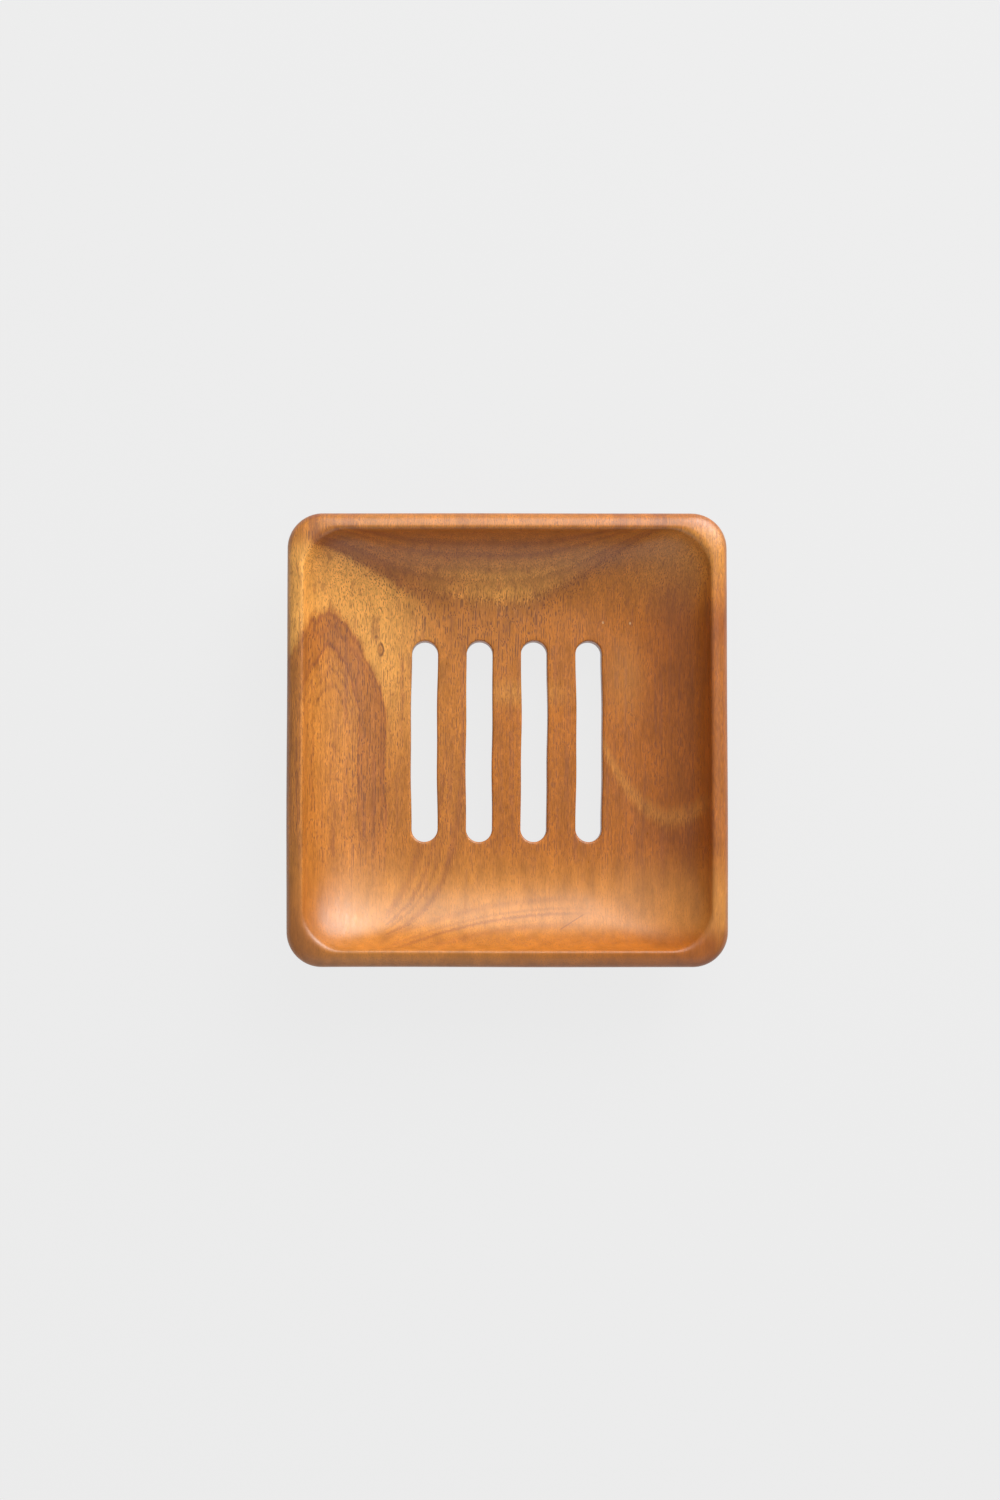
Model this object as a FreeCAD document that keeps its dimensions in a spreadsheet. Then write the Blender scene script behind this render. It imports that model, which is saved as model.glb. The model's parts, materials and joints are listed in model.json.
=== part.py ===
"""Soap dish: a square dish carved from one block of wood, standing on four stick-on bumper feet.

Millimetres, +Z up. The origin is on the surface that the dish stands on, under its middle.
X runs across the grain and along the row of drain slots, Y runs with the grain and along each slot.
"""

import FreeCAD
import Part
import Sketcher
import math
import os
import types

# Driving sizes: name, value, what it measures
SIZES = [
    ("dish_width", 108.1, "rim, across the grain, before its edges are sanded"),
    ("dish_length", 111.4, "the same with the grain, the way that wood shrinks least"),
    ("dish_height", 20.1, "wood alone, from its base to the crest of its rim, before sanding"),
    ("rim_corner_radius", 8.5, "outline of the rim, outside"),
    ("rim_width", 4.6, "land between the outline and the hollow's mouth"),
    ("rim_fall", 1.0, "how far the land falls from its crest to the outline"),
    ("rim_outer_round", 3.0, "sanded outer edge of the rim"),
    ("rim_inner_round", 1.2, "sanded edge of the hollow's mouth"),
    ("flank_inset", 15.0, "how far the base lies inside the outline of the rim"),
    ("base_corner_radius", 13.0, "outline of the flat base"),
    ("mouth_corner_radius", 9.0, "outline of the hollow at the rim"),
    ("floor_thickness", 6.6, "flat floor to the base"),
    ("floor_corner_radius", 17.0, "outline of the flat floor"),
    ("slot_width", 6.45, "drain slot, cut with a quarter-inch cutter and sanded"),
    ("slot_length", 49.8, "drain slot, end to end"),
    ("slot_pitch", 13.6, "drain slot to drain slot"),
    ("slot_edge_round", 0.5, "sanded edges of a drain slot"),
    ("floor_margin", 6.4, "flat floor beyond the outer slots and beyond the ends of the slots"),
    ("foot_diameter", 9.5, "bumper foot, where it is stuck to the base"),
    ("foot_contact_diameter", 7.6, "bumper foot, where it stands"),
    ("foot_height", 2.2, "bumper foot alone"),
    ("foot_edge_round", 0.6, "lower edge of a bumper foot"),
    ("foot_inset", 8.5, "middle of a foot inside the edge of the base"),
    ("adhesive_diameter", 8.8, "disc of adhesive between a foot and the base"),
    ("adhesive_thickness", 0.15, "the same disc"),
    ("cut_overrun", 2.0, "how far a cut runs past the face that it opens"),
]
SLOT_COUNT = 4
CORNERS = {
    "front_left": (-1, -1),
    "front_right": (1, -1),
    "rear_left": (-1, 1),
    "rear_right": (1, 1),
}

# Forms of the two curved walls, in sections and in the power of the flank's superellipse
FLANK_STEPS = 6
FLANK_POWER = 1.7
COVE_STEPS = 8

# The land's cut beyond its crest, the largest rounds for the rim's two edges and for a wall,
# and how level an edge has to lie
LAND_OVERRUN_SHARE = 0.25
OUTER_ROUND_SHARE = 0.68
INNER_ROUND_SHARE = 0.3
ROUND_LIMIT_SHARE = 0.4
LEVEL_SHARE = 0.005

OUT_FOLDER = "parts"

document = FreeCAD.newDocument("soap_dish")


def fill_sheet():
    """The sheet that every size is bound to: a name, a plain number and a note in each row."""
    made = document.addObject("Spreadsheet::Sheet", "Sizes")
    for row, (alias, value, note) in enumerate(SIZES, start=1):
        made.set(f"A{row}", alias)
        made.set(f"B{row}", str(value))
        made.set(f"C{row}", note)
        made.setAlias(f"B{row}", alias)
    document.recompute()


class Length:
    """A length that holds both the expression that binds it to the sheet and the number it comes to."""

    def __init__(self, text, value):
        self.text = text
        self.value = value

    def __add__(self, other):
        return Length(f"({self.text} + {other.text})", self.value + other.value)

    def __sub__(self, other):
        return Length(f"({self.text} - {other.text})", self.value - other.value)

    def __mul__(self, share):
        share = round(share, 6)
        return Length(f"({self.text} * {share})", self.value * share)

    def __truediv__(self, count):
        return Length(f"({self.text} / {count})", self.value / count)


def smaller(one, other):
    """The smaller of two lengths."""
    return Length(f"min({one.text}; {other.text})", min(one.value, other.value))


fill_sheet()
size = types.SimpleNamespace(**{alias: Length(f"Sizes.{alias}", value) for alias, value, _ in SIZES})
ZERO = Length("0", 0)


def new_body(label):
    body = document.addObject("PartDesign::Body", label)
    body.Label = label
    return body


def new_sketch(body, name, plane_role="XY_Plane", height=None):
    """An empty sketch on one of its body's own planes, lifted to a height above it."""
    sketch = body.newObject("Sketcher::SketchObject", name)
    plane = next(f for f in body.Origin.OriginFeatures if f.Role == plane_role)
    sketch.AttachmentSupport = [(plane, "")]
    sketch.MapMode = "FlatFace"
    if height:
        sketch.setExpression("AttachmentOffset.Base.z", height.text)
    return sketch


def constrain(sketch, name, kind, *where_and_length):
    """A named constraint whose value follows a length."""
    *where, length = where_and_length
    index = sketch.addConstraint(Sketcher.Constraint(kind, *where, length.value))
    sketch.renameConstraint(index, name)
    sketch.setExpression(f"Constraints.{name}", length.text)


def point(x, y):
    return FreeCAD.Vector(x, y, 0)


# The two ends of a sketch's edge, and the sketch's own origin, as constraints name them
START, END, CENTRE = 1, 2, 3
ORIGIN = (-1, 1)


def rounded_rectangle(body, name, half_width, half_length, radius, height):
    """A level closed outline: four straight sides and four corner arcs, about the body's own axis."""
    sketch = new_sketch(body, name, height=height)
    x, y, r = half_width.value, half_length.value, radius.value
    corners = [(x - r, y - r), (r - x, y - r), (r - x, r - y), (x - r, r - y)]
    turn = math.pi / 2
    ends = []
    for index, (cx, cy) in enumerate(corners):
        circle = Part.Circle(point(cx, cy), FreeCAD.Vector(0, 0, 1), r)
        sketch.addGeometry(Part.ArcOfCircle(circle, index * turn, (index + 1) * turn))
        ends.append((circle.value(index * turn), circle.value((index + 1) * turn)))
    arcs = range(len(corners))
    for index in arcs:
        following = (index + 1) % len(corners)
        side = sketch.addGeometry(Part.LineSegment(ends[index][1], ends[following][0]))
        level = index % 2 == 0
        sketch.addConstraint(Sketcher.Constraint("Tangent", index, END, side, START))
        sketch.addConstraint(Sketcher.Constraint("Tangent", side, END, following, START))
        sketch.addConstraint(Sketcher.Constraint("Horizontal" if level else "Vertical", side))
    for index in arcs[1:]:
        sketch.addConstraint(Sketcher.Constraint("Equal", arcs[0], index))
    rear, left, front, right = (len(corners) + index for index in arcs)
    constrain(sketch, "corner", "Radius", arcs[0], radius)
    constrain(sketch, "to_right", "DistanceX", *ORIGIN, right, START, half_width)
    constrain(sketch, "to_left", "DistanceX", left, START, *ORIGIN, half_width)
    constrain(sketch, "to_rear", "DistanceY", *ORIGIN, rear, START, half_length)
    constrain(sketch, "to_front", "DistanceY", front, START, *ORIGIN, half_length)
    return sketch


def dish_outline(body, name, inset, radius, height):
    """The dish's outline, drawn in by an inset all round, at a height above its base."""
    half_width = size.dish_width / 2 - inset
    half_length = size.dish_length / 2 - inset
    return rounded_rectangle(body, name, half_width, half_length, radius, height)


def add_loft(body, kind, name, sections, ruled):
    loft = body.newObject(f"PartDesign::{kind}", name)
    loft.Profile = sections[0]
    loft.Sections = sections[1:]
    loft.Ruled = ruled
    document.recompute()
    return loft


def between(first, last, share):
    """A length that goes from one size to another by a share."""
    return first + (last - first) * share


def flank(body):
    """The outside, from the flat base up to the outline of the rim.

    Each section is a point on a quarter of a superellipse, level at the base and upright at the rim."""
    sections = []
    power = 2 / FLANK_POWER
    for step in range(FLANK_STEPS + 1):
        angle = math.pi / 2 * step / FLANK_STEPS
        out_share = math.sin(angle) ** power
        up_share = 1 - max(math.cos(angle), 0) ** power
        sections.append(
            dish_outline(
                body,
                f"flank_{step}",
                size.flank_inset * (1 - out_share),
                between(size.base_corner_radius, size.rim_corner_radius, out_share),
                (size.dish_height - size.rim_fall) * up_share,
            )
        )
    return add_loft(body, "AdditiveLoft", "flank", sections, ruled=False)


def rim_land(body):
    """The land of the rim: a straight slope that rises from the outline and runs on past the crest."""
    beyond = 1 + LAND_OVERRUN_SHARE
    outline = dish_outline(
        body, "land_outline", ZERO, size.rim_corner_radius, size.dish_height - size.rim_fall
    )
    past_crest = dish_outline(
        body,
        "land_past_crest",
        size.rim_width * beyond,
        between(size.rim_corner_radius, size.mouth_corner_radius, beyond),
        size.dish_height + size.rim_fall * LAND_OVERRUN_SHARE,
    )
    return add_loft(body, "AdditiveLoft", "rim_land", [outline, past_crest], ruled=True)


def row_reach():
    """From the middle of the row of slots to the outer side of the last."""
    return size.slot_pitch * ((SLOT_COUNT - 1) / 2) + size.slot_width / 2


def hollow(body):
    """The carved hollow: upright at its mouth, then a quarter ellipse that ends level on the flat floor."""
    above = size.dish_height + size.rim_fall + size.cut_overrun
    depth = size.dish_height - size.floor_thickness
    mouth_width = size.dish_width / 2 - size.rim_width
    mouth_length = size.dish_length / 2 - size.rim_width
    floor_width = row_reach() + size.floor_margin
    floor_length = size.slot_length / 2 + size.floor_margin
    sections = [dish_outline(body, "above_mouth", size.rim_width, size.mouth_corner_radius, above)]
    for step in range(COVE_STEPS + 1):
        angle = math.pi / 2 * step / COVE_STEPS
        in_share = 1 - math.cos(angle)
        down_share = math.sin(angle)
        sections.append(
            rounded_rectangle(
                body,
                f"cove_{step}",
                between(mouth_width, floor_width, in_share),
                between(mouth_length, floor_length, in_share),
                between(size.mouth_corner_radius, size.floor_corner_radius, in_share),
                size.dish_height - depth * down_share,
            )
        )
    return add_loft(body, "SubtractiveLoft", "hollow", sections, ruled=False)


def slot_outline(body):
    """The first drain slot of the row: two straight sides and two half-round ends."""
    sketch = new_sketch(body, "slot_outline")
    middle = size.slot_pitch * ((SLOT_COUNT - 1) / 2)
    radius = size.slot_width / 2
    reach = size.slot_length / 2 - radius
    x, y, r = -middle.value, reach.value, radius.value
    upright = FreeCAD.Vector(0, 0, 1)
    rear = Part.ArcOfCircle(Part.Circle(point(x, y), upright, r), 0, math.pi)
    front = Part.ArcOfCircle(Part.Circle(point(x, -y), upright, r), math.pi, 2 * math.pi)
    left = Part.LineSegment(rear.EndPoint, front.StartPoint)
    right = Part.LineSegment(front.EndPoint, rear.StartPoint)
    rear, left, front, right = (sketch.addGeometry(edge) for edge in (rear, left, front, right))
    loop = [rear, left, front, right]
    for edge, following in zip(loop, loop[1:] + loop[:1]):
        sketch.addConstraint(Sketcher.Constraint("Tangent", edge, END, following, START))
    sketch.addConstraint(Sketcher.Constraint("Vertical", left))
    constrain(sketch, "round_end", "Radius", rear, radius)
    constrain(sketch, "from_middle", "DistanceX", rear, CENTRE, *ORIGIN, middle)
    constrain(sketch, "to_rear", "DistanceY", *ORIGIN, rear, CENTRE, reach)
    constrain(sketch, "to_front", "DistanceY", front, CENTRE, *ORIGIN, reach)
    return sketch


def drain_slots(body):
    """One slot cut up through the floor, repeated along the row."""
    outline = slot_outline(body)
    before = body.Tip.Shape.Volume
    first = body.newObject("PartDesign::Pocket", "first_slot")
    first.Profile = outline
    first.Reversed = True
    first.setExpression("Length", size.dish_height.text)
    document.recompute()
    removed = before - first.Shape.Volume
    row = body.newObject("PartDesign::LinearPattern", "slot_row")
    row.Originals = [first]
    row.Direction = (outline, ["H_Axis"])
    row.Mode = "Spacing"
    row.Occurrences = SLOT_COUNT
    row.setExpression("Offset", size.slot_pitch.text)
    body.Tip = row
    document.recompute()
    if removed <= 0 or row.Shape.Volume >= first.Shape.Volume:
        raise RuntimeError("the drain slots cut nothing")
    return row


def edge_names(feature, wanted):
    """Names of the edges of a feature that a test accepts."""
    edges = enumerate(feature.Shape.Edges, start=1)
    return [f"Edge{number}" for number, edge in edges if wanted(edge)]


def level_at(height, body_height):
    """A test for edges that run level at a height above the body's base."""
    slack = body_height.value * LEVEL_SHARE

    def test(edge):
        return all(abs(vertex.Z - height.value) < slack for vertex in edge.Vertexes)

    return test


def round_edges(body, name, wanted, radius):
    """A fillet on the wanted edges of what the body is so far."""
    base = body.Tip
    names = edge_names(base, wanted)
    if not names:
        raise RuntimeError(f"{name} found no edge")
    fillet = body.newObject("PartDesign::Fillet", name)
    fillet.Base = (base, names)
    fillet.setExpression("Radius", radius.text)
    document.recompute()
    return fillet


def slot_edges():
    """A test for the level edges round the drain slots, at the floor and at the base."""
    reach_x = (row_reach() + size.floor_margin / 2).value
    reach_y = (size.slot_length / 2 + size.floor_margin / 2).value

    def test(edge):
        box = edge.BoundBox
        inside = max(-box.XMin, box.XMax) < reach_x and max(-box.YMin, box.YMax) < reach_y
        upright = box.ZLength > box.XLength + box.YLength
        return inside and not upright

    return test


def make_dish():
    """The dish itself: flank and rim built up, then the hollow and the slots cut, then the edges sanded."""
    body = new_body("dish")
    flank(body)
    rim_land(body)
    hollow(body)
    outline = level_at(size.dish_height - size.rim_fall, size.dish_height)
    crest = level_at(size.dish_height, size.dish_height)
    outer_round = smaller(size.rim_outer_round, size.rim_width * OUTER_ROUND_SHARE)
    inner_round = smaller(size.rim_inner_round, size.rim_width * INNER_ROUND_SHARE)
    round_edges(body, "rim_outer_edge", outline, outer_round)
    round_edges(body, "rim_inner_edge", crest, inner_round)
    drain_slots(body)
    floor_limit = size.floor_thickness * ROUND_LIMIT_SHARE
    round_edges(body, "slot_edges", slot_edges(), smaller(size.slot_edge_round, floor_limit))
    body.setExpression("Placement.Base.z", (size.foot_height + size.adhesive_thickness).text)
    return body


def foot_place(piece, corner, height):
    """Sets a piece over a foot's place, at a corner of the base."""
    side_x, side_y = CORNERS[corner]
    inset = size.flank_inset + size.foot_inset
    piece.setExpression("Placement.Base.x", ((size.dish_width / 2 - inset) * side_x).text)
    piece.setExpression("Placement.Base.y", ((size.dish_length / 2 - inset) * side_y).text)
    piece.setExpression("Placement.Base.z", height.text)


def make_foot(corner):
    """A bumper foot: a low cone, wider where it is stuck on, with a rounded lower edge."""
    body = new_body(f"foot_{corner}")
    sketch = new_sketch(body, f"foot_profile_{corner}", plane_role="XZ_Plane")
    contact = size.foot_contact_diameter / 2
    top = size.foot_diameter / 2
    height = size.foot_height
    outline = [
        point(0, 0),
        point(contact.value, 0),
        point(top.value, height.value),
        point(0, height.value),
    ]
    lines = []
    for start, end in zip(outline, outline[1:] + outline[:1]):
        lines.append(sketch.addGeometry(Part.LineSegment(start, end)))
    for line, following in zip(lines, lines[1:] + lines[:1]):
        sketch.addConstraint(Sketcher.Constraint("Coincident", line, END, following, START))
    stands, side, stuck, axis = lines
    sketch.addConstraint(Sketcher.Constraint("Coincident", stands, START, *ORIGIN))
    sketch.addConstraint(Sketcher.Constraint("Horizontal", stands))
    sketch.addConstraint(Sketcher.Constraint("Horizontal", stuck))
    sketch.addConstraint(Sketcher.Constraint("Vertical", axis))
    constrain(sketch, "contact", "DistanceX", *ORIGIN, stands, END, contact)
    constrain(sketch, "stuck", "DistanceX", *ORIGIN, side, END, top)
    constrain(sketch, "tall", "DistanceY", *ORIGIN, side, END, height)
    turned = body.newObject("PartDesign::Revolution", f"foot_turned_{corner}")
    turned.Profile = sketch
    turned.ReferenceAxis = (sketch, ["V_Axis"])
    document.recompute()
    lower = level_at(ZERO, height)
    limit = height * ROUND_LIMIT_SHARE
    round_edges(body, f"foot_lower_edge_{corner}", lower, smaller(size.foot_edge_round, limit))
    foot_place(body, corner, ZERO)
    return body


def make_adhesive(corner):
    """The disc of adhesive that holds a foot to the base."""
    disc = document.addObject("Part::Cylinder", f"adhesive_{corner}")
    disc.Label = f"adhesive_{corner}"
    disc.setExpression("Radius", (size.adhesive_diameter / 2).text)
    disc.setExpression("Height", size.adhesive_thickness.text)
    foot_place(disc, corner, size.foot_height)
    return disc


def check(pieces):
    """Stops unless every object worked out and every piece is one valid solid."""
    failed = [o.Name for o in document.Objects if {"Invalid", "Error"} & set(o.State)]
    if failed:
        raise RuntimeError(f"these objects failed: {failed}")
    for piece in pieces:
        shape = piece.Shape
        if shape.isNull() or not shape.isValid() or len(shape.Solids) != 1:
            raise RuntimeError(f"{piece.Label} is not one valid solid")


def main():
    pieces = [make_dish()]
    for corner in CORNERS:
        pieces.append(make_foot(corner))
        pieces.append(make_adhesive(corner))
    document.recompute()
    check(pieces)
    os.makedirs(OUT_FOLDER, exist_ok=True)
    for piece in pieces:
        piece.Shape.exportStep(f"{OUT_FOLDER}/{piece.Label}.step")
        box = piece.Shape.BoundBox
        extent = f"{box.XLength:.2f} x {box.YLength:.2f} x {box.ZLength:.2f} mm"
        print(f"{piece.Label}: {extent}, {piece.Shape.Volume:.1f} mm3")


main()
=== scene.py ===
"""Looks of a square soap dish carved from one block of wood, on four stick-on bumper feet.

Metres, +Z up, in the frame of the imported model. +Y runs with the grain, +X along the row of drain slots.
"""

import json
import math
from typing import NamedTuple

import bmesh
import bpy
import numpy as np
from bpy.props import FloatProperty, FloatVectorProperty, PointerProperty
from bpy.types import Operator, Panel, PropertyGroup
from mathutils import Matrix, Vector

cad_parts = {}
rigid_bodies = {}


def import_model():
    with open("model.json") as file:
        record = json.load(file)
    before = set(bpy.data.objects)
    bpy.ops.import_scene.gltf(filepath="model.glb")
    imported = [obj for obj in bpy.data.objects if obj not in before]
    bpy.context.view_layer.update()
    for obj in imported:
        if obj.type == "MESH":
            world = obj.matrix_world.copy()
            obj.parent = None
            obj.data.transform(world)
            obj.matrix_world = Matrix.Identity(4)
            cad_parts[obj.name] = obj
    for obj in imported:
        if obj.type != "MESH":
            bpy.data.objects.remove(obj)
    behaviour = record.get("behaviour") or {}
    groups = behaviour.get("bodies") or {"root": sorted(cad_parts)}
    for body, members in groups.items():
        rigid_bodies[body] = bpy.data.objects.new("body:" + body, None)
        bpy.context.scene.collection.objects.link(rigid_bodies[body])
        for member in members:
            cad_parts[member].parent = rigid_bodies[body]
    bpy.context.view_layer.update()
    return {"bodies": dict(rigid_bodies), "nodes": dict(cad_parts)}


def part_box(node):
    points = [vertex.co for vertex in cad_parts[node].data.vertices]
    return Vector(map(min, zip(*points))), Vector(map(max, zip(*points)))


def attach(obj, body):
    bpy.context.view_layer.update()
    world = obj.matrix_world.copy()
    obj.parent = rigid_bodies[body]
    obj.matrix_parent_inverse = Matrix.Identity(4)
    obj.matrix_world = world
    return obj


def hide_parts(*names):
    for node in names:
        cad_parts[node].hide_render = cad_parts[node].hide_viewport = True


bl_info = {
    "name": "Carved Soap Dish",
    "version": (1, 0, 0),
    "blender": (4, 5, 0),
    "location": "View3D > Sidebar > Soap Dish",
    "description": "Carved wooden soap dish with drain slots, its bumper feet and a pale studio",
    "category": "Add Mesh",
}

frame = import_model()

DISH_LOW, DISH_HIGH = (Vector(corner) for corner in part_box("dish"))
BODY = next(iter(frame["bodies"]))
CORNERS = ("front_left", "front_right", "rear_left", "rear_right")
SLOT_COUNT = 4
MM = 0.001
SEAM = 0.001 * MM        # points nearer than this are merged

# Steps of the dish's grids: across and along one slot's cell, round half a corner, along the profile, and
# over the plates, the collars round the slots, and the slots' edges and walls
CELL_STEPS_X, CELL_STEPS_Y = 14, 44
CORNER_STEPS, SLOT_CORNER_STEPS = 11, 7
COVE_STEPS, ROUND_STEPS, FLANK_STEPS = 30, 12, 26
PLATE_STEPS, COLLAR_STEPS, SLOT_ROUND_STEPS, SLOT_WALL_STEPS = 6, 5, 5, 4

# Waves of hand sanding for each axis, as (length across the grain, length along it, phase, height), with
# lengths in millimetres
SANDING_WAVES = (
    ((31, 21, 0.7, 1.0), (-12, 9, 2.1, 0.4)),
    ((23, -40, 1.9, 1.0), (10, 22, 0.4, 0.4)),
    ((17, 19, 0.5, 0.5), (17, -19, 1.7, 0.5), (8, -9, 0.0, 0.5)),
)

# Waves of a slot's sides, as (length in millimetres, which way the phase goes from slot to slot, height)
SLOT_WAVES = ((7.5, 1, 1.0), (3.1, -1, 0.6))


def length(label, description, millimetres):
    """A size that a user may change, given here in millimetres."""
    return FloatProperty(
        name=label, description=description, default=millimetres * MM, min=0, precision=5,
        subtype="DISTANCE", unit="LENGTH",
    )


def colour(label, description, value):
    return FloatVectorProperty(
        name=label, description=description, default=value, size=3, min=0, max=1, subtype="COLOR"
    )


def share(label, description, value):
    return FloatProperty(name=label, description=description, default=value, min=0, max=1, subtype="FACTOR")


def watts(label, description, value):
    return FloatProperty(name=label, description=description, default=value, min=0, unit="POWER")


def tilt(label, description, degrees):
    """A turn that a user may change, given here in degrees."""
    return FloatProperty(name=label, description=description, default=math.radians(degrees), subtype="ANGLE")


class DishSizes(PropertyGroup):
    """Sizes of the carved dish; its outline, its base and its crest come from the frame."""

    rim_corner: length("Rim Corner", "Radius of the outline's corners at the rim", 8.5)
    rim_width: length("Rim Width", "Rim between the outline and the hollow", 4.6)
    rim_fall: length("Rim Fall", "Drop across the rim, outwards", 1.1)
    rim_crown: length("Rim Crown", "Line where the rim's two rounds meet, from the outline", 3.4)
    rim_round_in: length("Inner Round", "Reach of the rim's round down the hollow", 1.6)
    rim_round_out: length("Outer Round", "Reach of the rim's round down the flank", 3.0)
    flank_inset: length("Flank Inset", "How far the base lies inside the outline", 15.0)
    base_corner: length("Base Corner", "Radius of the base's corners", 13.0)
    mouth_corner: length("Mouth Corner", "Radius of the hollow's corners at the rim", 9.6)
    floor_corner: length("Floor Corner", "Radius of the flat floor's corners", 17.0)
    corner_fill: length("Corner Fill", "Extra radius half way up the hollow, so its corners are ramps", 5.0)
    floor_thickness: length("Floor Thickness", "Flat floor to the base", 6.6)
    floor_margin: length("Floor Margin", "Flat floor beyond the slots", 6.4)
    slot_width: length("Slot Width", "Drain slot, side to side", 6.45)
    slot_length: length("Slot Length", "Drain slot, end to end", 49.8)
    slot_pitch: length("Slot Pitch", "Drain slot to drain slot", 13.6)
    slot_round: length("Slot Round", "Sanded edges of a drain slot", 0.5)
    cell_corner: length("Cell Corner", "Corners of the field that holds the slots", 10.0)
    waver: length("Waver", "How far hand sanding strays from the true form", 0.06)
    slot_waver: length("Slot Waver", "How far a slot's sides stray from straight", 0.09)
    flank_power: FloatProperty(
        name="Flank Power", description="Power of the flank's superellipse", default=1.7, min=1, max=3
    )


class WoodFinish(PropertyGroup):
    """Colours of the wood and the gloss of its lacquer."""

    # Golden and honey also paint light on the right rim, the far corner and the lower far wall; heart also
    # paints shade on the right wall, and umber on the outline and high on the far wall
    honey: colour("Honey", "Sapwood, the palest of the board", (0.85, 0.395, 0.084))
    golden: colour("Golden", "Wood on the pale side of the board", (0.56, 0.203, 0.03))
    tawny: colour("Tawny", "Wood in the middle of the board", (0.53, 0.181, 0.022))
    russet: colour("Russet", "Redder wood towards the heart", (0.485, 0.147, 0.0125))
    heart_and_shade: colour("Heart", "Darkest and reddest wood of the board", (0.335, 0.084, 0.008))
    umber: colour("Umber", "Dark late wood of a growth ring", (0.29, 0.085, 0.025))
    pore: colour("Pore", "Open pores", (0.14, 0.045, 0.018))
    fleck: colour("Fleck", "Pale specks", (0.85, 0.6, 0.32))
    roughness: share("Roughness", "Roughness of the satin lacquer", 0.38)


class StageLook(PropertyGroup):
    """Camera and light of the studio."""

    lens: FloatProperty(name="Lens", description="Focal length", default=70, min=10, unit="CAMERA")
    distance: length("Distance", "Camera to the rim", 708.4)
    lean_x: tilt("Lean X", "Turn of the view to the left", 1.0)
    lean_y: tilt("Lean Y", "Turn of the view to the front", 2.3)
    key_power: watts("Key", "Watts of the key light", 7.9)
    strip_power: watts("Strip", "Watts of the strip light over the far side", 6.6)
    card_power: watts("Card", "Watts of the pale card on the near side", 2.5)
    fill: share("Fill", "Strength of the room's own light", 0.28)
    backdrop: colour("Backdrop", "Floor as the camera sees it", (0.91, 0.91, 0.91))
    backdrop_share: share("Backdrop Share", "How much of the floor is free of shadow", 0.88)


class SoapDishSettings(PropertyGroup):
    sizes: PointerProperty(type=DishSizes)
    wood: PointerProperty(type=WoodFinish)
    stage: PointerProperty(type=StageLook)


def settings():
    return bpy.context.scene.soap_dish


def corner_ring(rows, side_steps, corner_steps):
    """Rounded rectangles, one for each row (half width, half length, corner radius, height).

    A ring starts half way round the corner at +X +Y and turns anticlockwise. Each of its four sides is half
    a corner, a straight stretch and half a corner. A point is its corner's centre plus the radius at its
    angle, and on a straight stretch it lies between the ends of two such arcs."""
    signs = np.array([(1, 1), (-1, 1), (-1, -1), (1, -1)])
    corner, angle, share_along, following = [], [], [], []
    for side, steps in enumerate(side_steps):
        straight = steps - 2 * corner_steps
        first = math.pi / 4 + side * math.pi / 2
        out = first + np.arange(corner_steps) / corner_steps * math.pi / 4
        along = np.arange(straight) / max(straight, 1)
        back = first + math.pi / 4 + np.arange(corner_steps) / corner_steps * math.pi / 4
        corner += [np.full(corner_steps + straight, side), np.full(corner_steps, (side + 1) % 4)]
        angle += [out, np.full(straight, first + math.pi / 4), back]
        share_along += [np.zeros(corner_steps), along, np.zeros(corner_steps)]
        following.append(np.full(steps, (side + 1) % 4))
    corner, angle, share_along, following = (
        np.concatenate(part) for part in (corner, angle, share_along, following)
    )
    rows = np.asarray(rows)
    radius = rows[:, None, 2:3]
    reach = rows[:, None, :2] - radius
    arc = radius * np.stack([np.cos(angle), np.sin(angle)], axis=-1)
    start = reach * signs[corner] + arc
    end = reach * signs[following] + arc
    flat = start + (end - start) * share_along[:, None]
    height = np.broadcast_to(rows[:, None, 3:4], flat.shape[:2] + (1,))
    return np.concatenate([flat, height], axis=-1)


def square_ring(half_x, half_y, side_steps):
    """A plain rectangle with evenly spaced points, from the corner at +X +Y and turning anticlockwise."""
    corners = np.array([(half_x, half_y), (-half_x, half_y), (-half_x, -half_y), (half_x, -half_y)])
    sides = []
    for side, steps in enumerate(side_steps):
        along = np.arange(steps)[:, None] / steps
        sides.append(corners[side] * (1 - along) + corners[(side + 1) % 4] * along)
    return np.concatenate(sides)


def ease_corners(points, half_x, half_y, radius):
    """Rounds a rectangle's corners: a corner square maps to a quarter disc.

    With a and b the places past the corner's centre and r the radius, a becomes a sqrt(1 - b²/2r²)."""
    inner = np.array([half_x - radius, half_y - radius])
    past = np.maximum(np.abs(points) - inner, 0)
    eased = past * np.sqrt(1 - past[:, ::-1] ** 2 / (2 * radius**2))
    return np.sign(points) * (np.minimum(np.abs(points), inner) + eased)


def at_height(points, height):
    return np.concatenate([points, np.full((len(points), 1), height)], axis=1)


def between_rings(first, last, steps):
    """Rings that go evenly from one ring to another."""
    along = np.linspace(0, 1, steps + 1)[:, None, None]
    return first * (1 - along) + last * along


def blend_corner(before, corner, after, steps):
    """A rounded corner of the profile: (1-t)² before + 2t(1-t) corner + t² after."""
    t = np.linspace(0, 1, steps + 1)[:, None]
    return (1 - t) ** 2 * before + 2 * t * (1 - t) * corner + t**2 * after


def sanded_off(before, after):
    """How far a rounded corner lies below its sharp one, from how far below each end of the round lies."""
    return before * after / (before + after)


def flank_turn(sizes, height):
    """Where on the flank's superellipse the rim's outer round ends."""
    return math.acos((sizes.rim_round_out / height) ** (sizes.flank_power / 2))


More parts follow.
